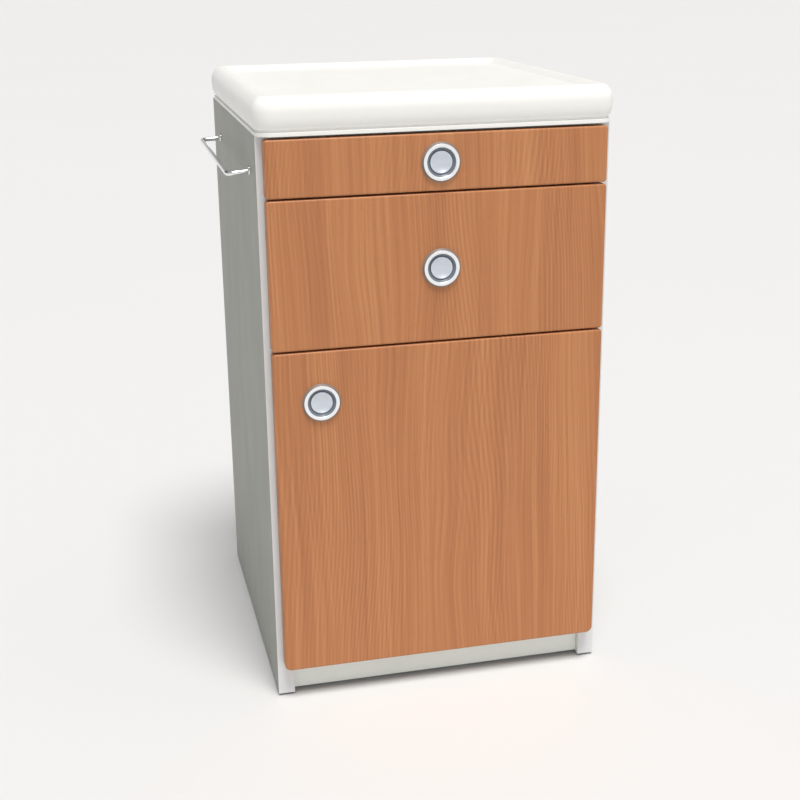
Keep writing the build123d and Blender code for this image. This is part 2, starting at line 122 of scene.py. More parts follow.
# Push buttons
BUTTON_TAIL_R = 10 * MM
BUTTON_TAIL = 4 * MM
BUTTON_EDGE_R = 0.6 * MM
BUTTON_RIM = 0.2 * MM
BUTTON_SIDE = 2 * MM
DISH_CHORD = 12.6 * MM
DISH_DEPTH = 3.9 * MM
DISH_STEPS = 14

# Rail
WIRE_R = 3 * MM
BEND_R = 9 * MM
WIRE_STEPS = 32
FERRULE_SHOULDER = 0.6
FERRULE_NECK = 0.75
FERRULE_EDGE_R = 0.6 * MM
FERRULE_STEPS = 48

# Screw heads: radius and height of the dome, and the cross, as shares of the head's own
SCREW_DOME = ((1.0, 0.0), (1.0, 0.25), (0.95, 0.55), (0.83, 0.82), (0.66, 1.0))
CROSS_ARM = 0.5
CROSS_HALF = 0.11
CROSS_FLOOR = 0.4
SCREW_STEPS = 32

# Soft edges of the CAD nodes that stay
SIDE_ARRIS = 0.5 * MM
EDGING_ARRIS = 0.35 * MM
BOARD_ARRIS = 0.4 * MM
BACK_ARRIS = 0.3 * MM
SAME_POINT = 0.01 * MM
FLAT_WITHIN = math.radians(1.0)
ARRIS_FROM = math.radians(50)

ARC_STEPS = 8
LATHE_STEPS = 96
SHARP_ANGLE = 32.0
SCREW_SHARP_ANGLE = 40.0


# Meshes

def wedge(angle_from, angle_to, steps):
    """Angles in radians from one to the other, both ends included."""
    return [angle_from + (angle_to - angle_from) * i / steps for i in range(steps + 1)]


def circle(steps):
    """Angles in radians all the way round."""
    return [2 * math.pi * k / steps for k in range(steps)]


def rounded_outline(half_w, half_h, upper, lower):
    """A rectangle about the origin with an upper and a lower corner radius, counterclockwise."""
    points = []
    corners = ((1, 1, upper), (-1, 1, upper), (-1, -1, lower), (1, -1, lower))
    for quarter, (sx, sy, radius) in enumerate(corners):
        start = quarter * math.pi / 2
        for a in wedge(start, start + math.pi / 2, ARC_STEPS):
            x = sx * (half_w - radius) + radius * math.cos(a)
            y = sy * (half_h - radius) + radius * math.sin(a)
            points.append((x, y))
    return points


def rounded_path(points, radius, steps=4, closed=False):
    """A flat path whose corners are rounded by up to a radius."""
    out = []
    count = len(points)
    for i, p in enumerate(points):
        here = Vector(p)
        if not closed and i in (0, count - 1):
            out.append(here)
            continue
        before = Vector(points[i - 1]) - here
        after = Vector(points[(i + 1) % count]) - here
        reach = min(radius, before.length * 0.45, after.length * 0.45)
        a = here + before.normalized() * reach
        b = here + after.normalized() * reach
        for k in range(steps + 1):
            t = k / steps
            out.append(a * (1 - t) ** 2 + here * 2 * t * (1 - t) + b * t ** 2)
    return out


def ring(bm, points):
    return [bm.verts.new(p) for p in points]


def bridge(bm, first, second):
    """Quads between two rings of the same length."""
    count = len(first)
    for i in range(count):
        j = (i + 1) % count
        bm.faces.new((first[i], first[j], second[j], second[i]))


def loft(bm, rings):
    """Rings of points joined one after another; returns their vertices."""
    made = [ring(bm, points) for points in rings]
    for first, second in zip(made, made[1:]):
        bridge(bm, first, second)
    return made


def loops(vertices):
    """The edges round a closed ring of vertices."""
    found = []
    for a, b in zip(vertices, vertices[1:] + vertices[:1]):
        edge = next((e for e in a.link_edges if e.other_vert(a) is b), None)
        if edge is not None:
            found.append(edge)
    return found


def fill(bm, rings, normal):
    """A flat face inside the first ring, with the other rings as holes."""
    edges = [e for r in rings for e in loops(r)]
    bmesh.ops.triangle_fill(bm, use_beauty=True, edges=edges, normal=normal)


def lathe(bm, profile, centre, axis, steps=LATHE_STEPS):
    """A body of revolution; profile holds (radius, distance along the axis)."""
    along = Vector(axis)
    side = along.orthogonal().normalized()
    other = along.cross(side)
    made = []
    turn = circle(steps)
    for radius, distance in profile:
        base = Vector(centre) + along * distance
        if radius < 1e-7:
            made.append([bm.verts.new(base)] * steps)
            continue
        points = [base + (side * math.cos(a) + other * math.sin(a)) * radius for a in turn]
        made.append(ring(bm, points))
    for first, second in zip(made, made[1:]):
        for i in range(steps):
            j = (i + 1) % steps
            corners = []
            for v in (first[i], first[j], second[j], second[i]):
                if v not in corners:
                    corners.append(v)
            bm.faces.new(corners)


def tube(bm, path, radius, steps):
    """A round bar along a path, closed at both ends."""
    rings = []
    turn = circle(steps)
    side = (path[1] - path[0]).orthogonal().normalized()
    for i, p in enumerate(path):
        ahead = path[min(i + 1, len(path) - 1)] - p
        behind = p - path[max(i - 1, 0)]
        along = (ahead.normalized() + behind.normalized()).normalized()
        side = (side - along * side.dot(along)).normalized()
        other = along.cross(side)
        rings.append([p + (side * math.cos(a) + other * math.sin(a)) * radius for a in turn])
    made = loft(bm, rings)
    bm.faces.new(made[0])
    bm.faces.new(made[-1])


def piece(bm, name, body, materials, stands_for, sharp=SHARP_ANGLE):
    """Turns a bmesh into a shown piece that rides on a CAD body and stands for one of its nodes."""
    bmesh.ops.recalc_face_normals(bm, faces=bm.faces)
    mesh = bpy.data.meshes.new(name)
    bm.to_mesh(mesh)
    bm.free()
    mesh.shade_smooth()
    mesh.set_sharp_from_angle(angle=math.radians(sharp))
    made = bpy.data.objects.new(name, mesh)
    bpy.context.scene.collection.objects.link(made)
    for material in materials:
        mesh.materials.append(material)
    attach(made, body)
    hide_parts(stands_for)


# Materials

def linear(r, g, b):
    """A display colour, 0 to 255, as linear light."""
    def one(v):
        v = v / 255
        return v / 12.92 if v <= 0.04045 else ((v + 0.055) / 1.055) ** 2.4
    return one(r), one(g), one(b), 1.0


class Look:
    """One node material, with short ways to add the nodes used here."""

    def __init__(self, name, **surface):
        self.material = bpy.data.materials.new(name)
        self.material.use_nodes = True
        self.nodes = self.material.node_tree.nodes
        self.links = self.material.node_tree.links
        self.shader = self.nodes["Principled BSDF"]
        for key, value in surface.items():
            self.set(key.replace("_", " ").title().replace("Ior", "IOR"), value)

    def set(self, socket, value):
        self.plug(value, self.shader.inputs[socket])

    def plug(self, value, socket):
        if isinstance(value, bpy.types.NodeSocket):
            self.links.new(value, socket)
        else:
            socket.default_value = value

    def add(self, kind, inputs=(), **settings):
        node = self.nodes.new(kind)
        for key, value in settings.items():
            setattr(node, key, value)
        for key, value in dict(inputs).items():
            self.plug(value, node.inputs[key])
        return node

    def place(self, scale=(1, 1, 1), move=(0, 0, 0), output="Object"):
        """The row frame's coordinates, scaled and moved."""
        source = self.add("ShaderNodeTexCoord").outputs[output]
        inputs = {"Vector": source, "Location": move, "Scale": scale}
        return self.add("ShaderNodeMapping", inputs).outputs[0]

    def noise(self, vector, scale=1.0, detail=3.0, roughness=0.5):
        inputs = {"Vector": vector, "Scale": scale, "Detail": detail, "Roughness": roughness}
        return self.add("ShaderNodeTexNoise", inputs).outputs[0]

    def maths(self, operation, a, b=0.0):
        return self.add("ShaderNodeMath", {0: a, 1: b}, operation=operation).outputs[0]

    def span(self, value, low, high, to_low=0.0, to_high=1.0):
        inputs = {0: value, 1: low, 2: high, 3: to_low, 4: to_high}
        return self.add("ShaderNodeMapRange", inputs).outputs[0]

    def mix(self, factor, a, b):
        inputs = {0: factor, 6: a, 7: b}
        return self.add("ShaderNodeMix", inputs, data_type="RGBA").outputs[2]

    def ramp(self, factor, stops):
        node = self.add("ShaderNodeValToRGB", {0: factor})
        elements = node.color_ramp.elements
        while len(elements) < len(stops):
            elements.new(0.5)
        for element, (at, colour) in zip(elements, stops):
            element.position = at
            element.color = colour
        return node.outputs[0]

    def bump(self, height, strength, distance):
        inputs = {"Height": height, "Strength": strength, "Distance": distance}
        self.set("Normal", self.add("ShaderNodeBump", inputs).outputs[0])


BEECH_DARK = linear(162, 102, 63)
BEECH_MIDDLE = linear(184, 121, 77)
BEECH_LIGHT = linear(203, 142, 95)
BEECH_PORE = linear(142, 86, 52)
TOP_DARK = (0.85, 0.845, 0.81, 1)
TOP_LIGHT = (0.87, 0.865, 0.84, 1)
# Painted shade: the side panels' outer faces get this grey in place of their white
SIDE_SHADE_DARK = (0.36, 0.365, 0.335, 1)
SIDE_SHADE_LIGHT = (0.395, 0.40, 0.37, 1)
MELAMINE_DARK = (0.76, 0.76, 0.74, 1)
MELAMINE_LIGHT = (0.80, 0.80, 0.78, 1)

# How many bands, streaks and growth lines a metre of the wood holds, and how far the lines wander
BANDS = 34.0
STREAKS = 230.0
GROWTH_LINES = 190.0
GROWTH_WANDER = 22.0


def beech_foil(name, seed, lean):
    """Beech-pattern foil: upright bands and streaks, wandering growth lines in patches, short pores."""
    look = Look(name, roughness=0.42, specular_ior_level=0.4)
    split = look.add("ShaderNodeSeparateXYZ", {0: look.place(move=(seed, 0, 0))})
    x, z = split.outputs[0], split.outputs[2]
    sway = look.noise(look.place((5.0, 0, 2.2), (seed * 3, 0, seed)), 1.0, 2.0, 0.45)
    bent = look.maths("ADD", x, look.maths("MULTIPLY", look.maths("SUBTRACT", sway, 0.5), lean))
    low = look.add("ShaderNodeCombineXYZ", {0: look.maths("MULTIPLY", bent, BANDS),
                                            2: look.maths("MULTIPLY", z, 0.9)}).outputs[0]
    bands = look.noise(low, 1.0, 2.0, 0.5)
    fine = look.add("ShaderNodeCombineXYZ", {0: look.maths("MULTIPLY", bent, STREAKS),
                                             2: look.maths("MULTIPLY", z, 2.4)}).outputs[0]
    streaks = look.noise(fine, 1.0, 4.0, 0.62)
    hills = look.noise(look.place((6.0, 0, 1.7), (seed * 2, 0, seed)), 1.0, 1.0, 0.4)
    rise = look.maths("MULTIPLY", x, GROWTH_LINES)
    count = look.maths("ADD", rise, look.maths("MULTIPLY", hills, GROWTH_WANDER))
    lines = look.maths("PINGPONG", count, 0.5)
    patches = look.noise(look.place((9.0, 0, 1.3), (seed * 5 + 2, 0, 0)), 1.0, 1.0, 0.5)
    weight = look.span(patches, 0.44, 0.64, 0.0, 0.42)
    growth = look.maths("MULTIPLY", look.maths("SUBTRACT", lines, 0.25), weight)
    mottled = look.maths("ADD", look.maths("MULTIPLY", bands, 0.5), look.maths("MULTIPLY", streaks, 0.8))
    tone = look.ramp(look.maths("ADD", growth, look.maths("SUBTRACT", mottled, 0.15)), (
        (0.2, BEECH_DARK), (0.5, BEECH_MIDDLE), (0.8, BEECH_LIGHT)))
    pore_at = look.place((620.0, 0, 46.0), (seed, 0, 0))
    pores = look.span(look.noise(pore_at, 1.0, 1.0, 0.5), 0.66, 0.74, 0.0, 0.22)
    look.set("Base Color", look.mix(pores, tone, BEECH_PORE))
    look.set("Roughness", look.span(streaks, 0.3, 0.7, 0.38, 0.48))
    look.bump(look.maths("ADD", streaks, pores), 0.12, 0.1 * MM)
    return look.material


def moulded_top():
    """Warm white moulded plastic with a faint orange peel and slight yellowing in patches."""
    look = Look("moulded_top", specular_ior_level=0.25)
    age = look.noise(look.place((4, 4, 4)), 1.0, 3.0)
    look.set("Base Color", look.mix(look.span(age, 0.35, 0.7), TOP_DARK, TOP_LIGHT))
    look.set("Roughness", look.span(look.noise(look.place((30, 30, 30))), 0.3, 0.7, 0.3, 0.42))
    look.bump(look.noise(look.place((420, 420, 420)), 1.0, 2.0), 0.08, 0.15 * MM)
    return look.material


def laminate(name, dark, light, roughness, grain=260.0, depth=0.05):
    """White or grey laminated board: a faint cloudiness and a fine pebble."""
    look = Look(name, specular_ior_level=0.4)
    cloud = look.noise(look.place((5, 5, 3)), 1.0, 4.0)
    look.set("Base Color", look.mix(look.span(cloud, 0.3, 0.7), dark, light))
    rub = look.noise(look.place((18, 18, 6), (3, 1, 2)), 1.0, 4.0, 0.6)
    look.set("Roughness", look.span(rub, 0.3, 0.7, roughness * 0.85, roughness * 1.2))
    look.bump(look.noise(look.place((grain, grain, grain)), 1.0, 2.0), depth, 0.2 * MM)
    return look.material


def side_laminate():
    """White laminated board: white melamine on the faces inside the cabinet, and a light grey of painted
    shade on the outer faces.
    """
    look = Look("side_laminate", specular_ior_level=0.08)
    across = look.add("ShaderNodeSeparateXYZ", {0: look.place()}).outputs[0]
    reach = look.maths("ABSOLUTE", across)
    within = look.maths("LESS_THAN", reach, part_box("side_panel_right")[0].x + 0.2 * MM)
    cloud = look.span(look.noise(look.place((5, 5, 3)), 1.0, 4.0), 0.3, 0.7)
    # painted shade: a grey for the outer faces instead of the board's white
    painted_shade_outside = look.mix(cloud, SIDE_SHADE_DARK, SIDE_SHADE_LIGHT)
    inside = look.mix(cloud, MELAMINE_DARK, MELAMINE_LIGHT)
    look.set("Base Color", look.mix(within, painted_shade_outside, inside))
    rub = look.noise(look.place((18, 18, 6), (3, 1, 2)), 1.0, 4.0, 0.6)
    look.set("Roughness", look.span(rub, 0.3, 0.7, 0.43, 0.58))
    look.bump(look.noise(look.place((260, 260, 260)), 1.0, 2.0), 0.05, 0.2 * MM)
    return look.material


def metal(name, dark, light, rough_low, rough_high, stretch=(60, 60, 60), depth=0.03):
    """A metal skin whose shine varies over it, with fine scratches along the stretch."""
    look = Look(name, metallic=1.0)
    wear = look.noise(look.place(stretch), 1.0, 5.0, 0.6)
    look.set("Base Color", look.mix(look.span(wear, 0.3, 0.7), dark, light))
    look.set("Roughness", look.span(wear, 0.3, 0.7, rough_low, rough_high))
    look.bump(look.noise(look.place(tuple(4 * s for s in stretch)), 1.0, 2.0), depth, 0.05 * MM)
    return look.material


def satin_metal(name, dark, light, metallic):
    """Turned satin plating: fine rings about the part's own centre."""
    look = Look(name, metallic=metallic)
    centred = look.place((1, 0, 1), (-0.5, 0, -0.5), "Generated")
    distance = look.add("ShaderNodeVectorMath", {0: centred}, operation="LENGTH").outputs["Value"]
    rings = look.noise(look.add("ShaderNodeCombineXYZ", {0: distance}).outputs[0], 160.0, 2.0, 0.6)
    look.set("Base Color", look.mix(rings, dark, light))
    look.set("Roughness", look.span(rings, 0.3, 0.7, 0.28, 0.38))
    look.bump(rings, 0.06, 0.05 * MM)
    return look.material


def plastic(name, dark, light, roughness):
    """Plain moulded plastic with a fine spark-eroded skin."""
    look = Look(name)
    cloud = look.noise(look.place((40, 40, 40)), 1.0, 4.0)
    look.set("Base Color", look.mix(cloud, dark, light))
    look.set("Roughness", look.span(cloud, 0.3, 0.7, roughness * 0.85, roughness * 1.15))
    look.bump(look.noise(look.place((900, 900, 900)), 1.0, 1.0), 0.1, 0.1 * MM)
    return look.material


def chipboard():
    """Raw particle board: pressed chips of several browns."""
    look = Look("chipboard", roughness=0.8)
    cells = look.add("ShaderNodeTexVoronoi", {"Vector": look.place((240, 240, 600)), "Scale": 1.0})
    look.set("Base Color", look.ramp(cells.outputs["Color"], (
        (0.2, linear(150, 118, 84)), (0.5, linear(186, 154, 114)), (0.8, linear(206, 178, 140)))))
    look.bump(cells.outputs["Distance"], 0.3, 0.3 * MM)
    return look.material


def rubber():
    """Milky clear rubber."""
    look = Look("clear_rubber", transmission_weight=0.55, ior=1.45)
    cloud = look.noise(look.place((200, 200, 200)), 1.0, 2.0)
    look.set("Base Color", look.mix(cloud, (0.82, 0.83, 0.82, 1), (0.9, 0.9, 0.88, 1)))
    look.set("Roughness", look.span(cloud, 0.3, 0.7, 0.3, 0.45))
    return look.material


BEECH = {
    "drawer_1": beech_foil("beech_drawer_1", 1.7, 0.03),
    "drawer_2": beech_foil("beech_drawer_2", 4.1, 0.07),
    "door": beech_foil("beech_door", 7.3, 0.05),
}
TOP = moulded_top()
SIDE_PAINTED_SHADE = side_laminate()
EDGING = laminate("white_edging", (0.72, 0.73, 0.735, 1), (0.75, 0.76, 0.765, 1), 0.3)
# Painted light: the plinth's white is set lighter than the edging's to make up for the shade under the
# door
PLINTH_PAINTED_LIGHT = laminate("plinth_foil_painted_light", (0.83, 0.87, 0.83, 1), (0.86, 0.90, 0.86, 1), 0.4)
INNER = laminate("inner_melamine", MELAMINE_DARK, MELAMINE_LIGHT, 0.45, 700.0, 0.12)
BACK = laminate("back_lacquer", (0.70, 0.70, 0.67, 1), (0.75, 0.75, 0.72, 1), 0.55, 500.0, 0.2)
CHROME = metal("chrome_wire", (0.80, 0.81, 0.82, 1), (0.88, 0.88, 0.89, 1), 0.06, 0.13)
RING = satin_metal("ring_plate", (0.86, 0.87, 0.90, 1), (0.94, 0.95, 0.97, 1), 0.5)
# Painted shade: the ring's inner cone gets a dark blue-grey in place of the ring's plating, for the
# shade in the groove round the button
CONE_PAINTED_SHADE = plastic("lock_cone_painted_shade", (0.12, 0.15, 0.18, 1), (0.17, 0.20, 0.24, 1), 0.4)
# Painted reflection: the ring's outer flank gets a dark brown for the wood and shade it mirrors, in
# place of its plating
FLANK_PAINTED_REFLECTION = plastic("ring_flank_painted_reflection", (0.20, 0.16, 0.14, 1), (0.27, 0.22, 0.19, 1), 0.4)
BUTTON = satin_metal("satin_chrome", (0.62, 0.66, 0.73, 1), (0.70, 0.74, 0.81, 1), 0.4)
ZINC = metal("zinc_steel", (0.52, 0.54, 0.56, 1), (0.66, 0.68, 0.69, 1), 0.28, 0.42, (90, 25, 90), 0.05)
NICKEL = metal("nickel_steel", (0.60, 0.58, 0.54, 1), (0.70, 0.68, 0.64, 1), 0.18, 0.28)
BLACK = plastic("black_plastic", (0.018, 0.018, 0.02, 1), (0.03, 0.03, 0.032, 1), 0.5)
CHIPBOARD = chipboard()
RUBBER = rubber()


# Pieces

def top_rings(low, high):
    """Heights and insets from the lower inner wall, round the nose and down into the tray."""
    base, crown = low.z, high.z
    groove_low = base + LIP_H
    groove_high = groove_low + GROOVE_H
    steps = [(TOP_WALL, crown - CEILING_DROP), (TOP_WALL, base)]
    for a in wedge(-math.pi / 2, math.pi / 2, ARC_STEPS):
        middle = base + LIP_EDGE_R if a < 0 else groove_low - LIP_EDGE_R
        steps.append((LIP_IN + LIP_EDGE_R * (1 - math.cos(a)), middle + LIP_EDGE_R * math.sin(a)))
    steps += [(GROOVE_IN, groove_low), (GROOVE_IN, groove_high)]
    reach, rise = NOSE_LOW
    for a in wedge(NOSE_FROM, math.pi / 2, ARC_STEPS):
        steps.append((reach * (1 - math.sin(a)), groove_high + rise * (1 - math.cos(a))))
    reach, drop = NOSE_HIGH
    for a in wedge(0, math.pi / 2, 2 * ARC_STEPS):
        steps.append((reach * (1 - math.cos(a)), crown - drop * (1 - math.sin(a))))
    foot = TRAY_INSET + TRAY_SLOPE
    tray_floor = crown - TRAY_DEPTH
    fall = [(TRAY_INSET - TRAY_RIM_LEAD, crown), (TRAY_INSET, crown), (foot, tray_floor),
            (foot + TRAY_FLOOR_LEAD, tray_floor)]
    steps += [tuple(p) for p in rounded_path(fall, TRAY_EDGE_R, 5)]
    return steps


def moulded_top_piece():
    low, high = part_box("top_shell")
    centre = (low + high) / 2
    half_x, half_y = high.x - centre.x, high.y - centre.y
    bm = bmesh.new()
    rings = []
    for inset, z in top_rings(low, high):
        radius = max(TOP_CORNER_R - inset, TRAY_CORNER_R)
        outline = rounded_outline(half_x - inset, half_y - inset, radius, radius)
        rings.append([(centre.x + x, centre.y + y, z) for x, y in outline])
    made = loft(bm, rings)
    bm.faces.new(made[0])
    bm.faces.new(made[-1])
    piece(bm, "moulded_top", "cabinet", [TOP], "top_shell")


def front_steps(face, rear, hinge_r):
    """Insets of a front from its rear to its face: all round, how far back, and on the right alone."""
    steps = []
    for a in wedge(math.pi / 2, 0, ARC_STEPS):
        behind = hinge_r * (1 - math.sin(a))
        steps.append((max(BACK_EDGE_R - behind, 0.0), rear - behind, hinge_r * (1 - math.cos(a))))
    for a in wedge(0, math.pi / 2, ARC_STEPS):
        steps.append((FRONT_EDGE_R * (1 - math.cos(a)), face + FRONT_EDGE_R * (1 - math.sin(a)), 0.0))
    steps.append((FRONT_EDGE_R + FACE_MARGIN, face, 0.0))
    return steps


def front_piece(node, body, material, lock, bores=()):
    """A pressed front: foil over its face and edges, white board behind, with its lock and cup holes."""
    low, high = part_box(node)
    centre = (low + high) / 2
    half_x, half_z = high.x - centre.x, high.z - centre.z
    face, rear = low.y, high.y
    hinged = body == "door"
    lower = DOOR_LOWER_CORNER_R if hinged else FRONT_CORNER_R
    bm = bmesh.new()
    rings = []
    for inset, y, right in front_steps(face, rear, HINGE_EDGE_R if hinged else BACK_EDGE_R):
        corner = FRONT_CORNER_R - inset
        outline = rounded_outline(half_x - inset, half_z - inset, corner, lower - inset)
        rings.append([(centre.x + min(x, half_x - right), y, centre.z + z) for x, z in outline])
    made = loft(bm, rings)
    front_holes, rear_holes = [], []
    for x, z, radius, floor in [(lock.x, lock.z, SPIGOT_R, None)] + list(bores):
        hole = [(x + radius * math.cos(a), z + radius * math.sin(a)) for a in circle(HOLE_STEPS)]
        end = face if floor is None else floor
        walls = loft(bm, [[(u, y, v) for u, v in hole] for y in (rear, end)])
        rear_holes.append(walls[0])
        if floor is None:
            front_holes.append(walls[1])
        else:
            bm.faces.new(walls[1])
    fill(bm, [made[-1]] + front_holes, (0, -1, 0))
    fill(bm, [made[0]] + rear_holes, (0, 1, 0))
    behind = rear - REAR_SKIN
    for f in bm.faces:
        if all(v.co.y > behind for v in f.verts):
            f.material_index = 1
    piece(bm, node.replace("_panel", "") + "_face", body, [material, INNER], node)


def lock_centre(name):
    low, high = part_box(name + "_rosette")
    return (low + high) / 2


def ring_piece(name, body):
    """The lock's ring: a flange, a raised rounded crest, a cone darkened with painted shade, an outer
    flank darkened with a painted reflection, and its spigot behind.
    """
    low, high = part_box(name + "_rosette")
    centre = (low + high) / 2
    outer = high.x - centre.x
    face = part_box(name + ("_panel" if name == "door" else "_front"))[0].y
    rear = high.y - face
    crest = face - low.y
    throat = RING_THROAT[0]
    corners = [(throat, rear), (SPIGOT_R, rear), (SPIGOT_R, RING_LIFT), (outer, RING_LIFT)]
    corners += [(outer, -RING_FLANGE_H), (RING_STEP[0], -RING_STEP[1])]
    corners += [(radius, -crest + below) for radius, below in RING_CREST]
    corners += [(radius, -height) for radius, height in (RING_FLOOR, RING_THROAT)]
    profile = rounded_path(corners, RING_EDGE_R, 4, closed=True)
    bm = bmesh.new()
    at = (centre.x, face, centre.z)
    lathe(bm, [tuple(p) for p in profile] + [tuple(profile[0])], at, (0, 1, 0))
    bmesh.ops.remove_doubles(bm, verts=bm.verts, dist=1e-6)
    for f in bm.faces:
        middle = f.calc_center_median() - Vector(at)
        distance = math.hypot(middle.x, middle.z)
        # painted shade on the cone inside CONE_R, painted reflection on the flank beyond FLANK_R
        if distance < CONE_R:
            f.material_index = 1
        elif distance > FLANK_R:
            f.material_index = 2
    piece(bm, name + "_ring", body, [RING, CONE_PAINTED_SHADE, FLANK_PAINTED_REFLECTION], name + "_rosette")


def button_piece(name, body):
    """The push button: a softly dished head and its barrel."""
    low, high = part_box(name + "_button")
    centre = (low + high) / 2
    radius = high.x - centre.x
    length = high.y - low.y
    barrel = length - BUTTON_TAIL
    bowl = (DISH_CHORD ** 2 + DISH_DEPTH ** 2) / (2 * DISH_DEPTH)
    reach = math.asin(DISH_CHORD / bowl)
    hub = DISH_DEPTH - bowl
    dish = [(bowl * math.sin(a), hub + bowl * math.cos(a)) for a in wedge(0, reach, DISH_STEPS)]
    edge = [dish[-1], (DISH_CHORD + BUTTON_RIM, 0.0), (radius, 0.0), (radius, BUTTON_SIDE)]
    rim = [tuple(p) for p in rounded_path(edge, BUTTON_EDGE_R, 5)]
    tail = [(radius, barrel), (BUTTON_TAIL_R, barrel), (BUTTON_TAIL_R, length), (0.0, length)]
    bm = bmesh.new()
    profile = dish[:-1] + rim + tail
    lathe(bm, profile, (centre.x, low.y, centre.z), (0, 1, 0))
    piece(bm, name + "_push_button", body, [BUTTON], name + "_button")


def rail_piece():
    """The chrome wire rail with its bends, and a turned ferrule round each end."""
    low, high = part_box("towel_rail")
    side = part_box("side_panel_left")[0].x
    rings_low, rings_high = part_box("rail_ferrules")
    ferrule_r = (rings_high.z - rings_low.z) / 2
    ferrule_t = rings_high.x - rings_low.x
    arm_z = (rings_high.z + rings_low.z) / 2
    bar_z = low.z + WIRE_R
    out, inside = low.x + WIRE_R, high.x
    front, rear = low.y + WIRE_R, high.y - WIRE_R
    points = [(inside, front, arm_z), (out, front, bar_z), (out, rear, bar_z), (inside, rear, arm_z)]
    bm = bmesh.new()
    tube(bm, rounded_path(points, BEND_R, 12), WIRE_R, WIRE_STEPS)
    piece(bm, "chrome_rail", "cabinet", [CHROME], "towel_rail")
    bm = bmesh.new()
    shape = [(WIRE_R, 0.0), (ferrule_r, 0.0), (ferrule_r, ferrule_t * FERRULE_SHOULDER),
             (ferrule_r * FERRULE_NECK, ferrule_t), (WIRE_R, ferrule_t)]
    profile = [tuple(p) for p in rounded_path(shape, FERRULE_EDGE_R, 4)]
    for y in (front, rear):
        lathe(bm, profile, (side, y, arm_z), (-1, 0, 0), FERRULE_STEPS)
    piece(bm, "chrome_ferrules", "cabinet", [CHROME], "rail_ferrules")


def solids(name):
    """The low and high corners of each separate solid of a CAD node."""
    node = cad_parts[name]
    bm = bmesh.new()
    bm.from_mesh(node.data)
    bm.transform(node.matrix_world)
    bmesh.ops.remove_doubles(bm, verts=bm.verts, dist=SAME_POINT)
    left = set(bm.verts)
    boxes = []
    while left:
        found, queue = set(), [next(iter(left))]
        while queue:
            vertex = queue.pop()
            if vertex in found:
                continue
            found.add(vertex)
            queue += [edge.other_vert(vertex) for edge in vertex.link_edges]
        left -= found
        low = Vector([min(v.co[i] for v in found) for i in range(3)])
        high = Vector([max(v.co[i] for v in found) for i in range(3)])
        boxes.append((low, high))
    bm.free()
    return sorted(boxes, key=lambda box: tuple(round(c, 4) for c in box[0]))


def screw_head(bm, base, axis, radius, thickness):
    """A domed head with a cross recess."""
    along = Vector(axis)
    side = along.orthogonal().normalized()
    other = along.cross(side)

    def at(u, v, h):
        return base + side * u + other * v + along * h

    rings = []
    for r, h in SCREW_DOME:
        spots = [(r * radius * math.cos(a), r * radius * math.sin(a)) for a in circle(SCREW_STEPS)]
        rings.append([at(u, v, h * thickness) for u, v in spots])
    made = loft(bm, rings)
    bm.faces.new(made[0])
    arm, half = CROSS_ARM * radius, CROSS_HALF * radius
    corner = [(arm, -half), (arm, half), (half, half), (half, arm), (-half, arm), (-half, half)]
    cross = corner + [(-u, -v) for u, v in corner]
    depths = (thickness, CROSS_FLOOR * thickness)
    walls = loft(bm, [[at(u, v, h) for u, v in cross] for h in depths])
    bm.faces.new(walls[1])
    fill(bm, [made[-1], walls[0]], along)


def screws_piece(node, body, axis, material):
    """Cross-recessed heads in the places of a CAD node's plain ones."""
    along = Vector(axis)
    bm = bmesh.new()
    for low, high in solids(node):
        middle = (low + high) / 2
        size = high - low
        thickness = abs(size.dot(along))
        radius = max(size) / 2
        screw_head(bm, middle - along * thickness / 2, axis, radius, thickness)
    piece(bm, node + "_heads", body, [material], node, SCREW_SHARP_ANGLE)


def paint(nodes, material, soften=0.0):
    """Gives CAD nodes a material and, where they are boards or plates, soft arrises."""
    for name in nodes:
        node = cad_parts[name]
        node.data.materials.clear()
        node.data.materials.append(material)
        if soften:
            weld = node.modifiers.new("weld", "WELD")
            weld.merge_threshold = SAME_POINT
            flat = node.modifiers.new("flat", "DECIMATE")
            flat.decimate_type = "DISSOLVE"
            flat.angle_limit = FLAT_WITHIN
            edge = node.modifiers.new("edge", "BEVEL")
            edge.width = soften
            edge.segments = 2
            edge.limit_method = "ANGLE"
            edge.angle_limit = ARRIS_FROM


def carried_nodes():
    """Materials for the CAD nodes that stay."""
    paint(["side_panel_left", "side_panel_right"], SIDE_PAINTED_SHADE, SIDE_ARRIS)
    paint(["front_edging"], EDGING, EDGING_ARRIS)
    paint(["plinth_front"], PLINTH_PAINTED_LIGHT, SIDE_ARRIS)
    boards = ["shelf", "base_panel", "plinth_rear", "divider_panel", "middle_rail", "top_rail_front",
              "top_rail_rear"]
    for drawer in DRAWERS:
        boards += [drawer + part for part in ("_side_left", "_side_right", "_back")]
    paint(boards, INNER, BOARD_ARRIS)
    paint(["back_panel", "drawer_1_bottom", "drawer_2_bottom"], BACK, BACK_ARRIS)
    paint(["top_core"], CHIPBOARD)
    slides = [name + "_slide_" + part for name in DRAWERS for part in ("outer", "middle", "inner")]
    paint(slides + ["keepers", "shelf_pegs"], ZINC)
    paint([name + "_bolt" for name in LOCKS], ZINC)
    paint([name + "_lock_case" for name in LOCKS] + ["floor_glides"], BLACK)
    hinges = ["hinge_" + part + side for part in ("cup", "arm") for side in ("_lower", "_upper")]
    paint(hinges + ["hinge_pins"], NICKEL)
    paint(["door_buffers"], RUBBER)


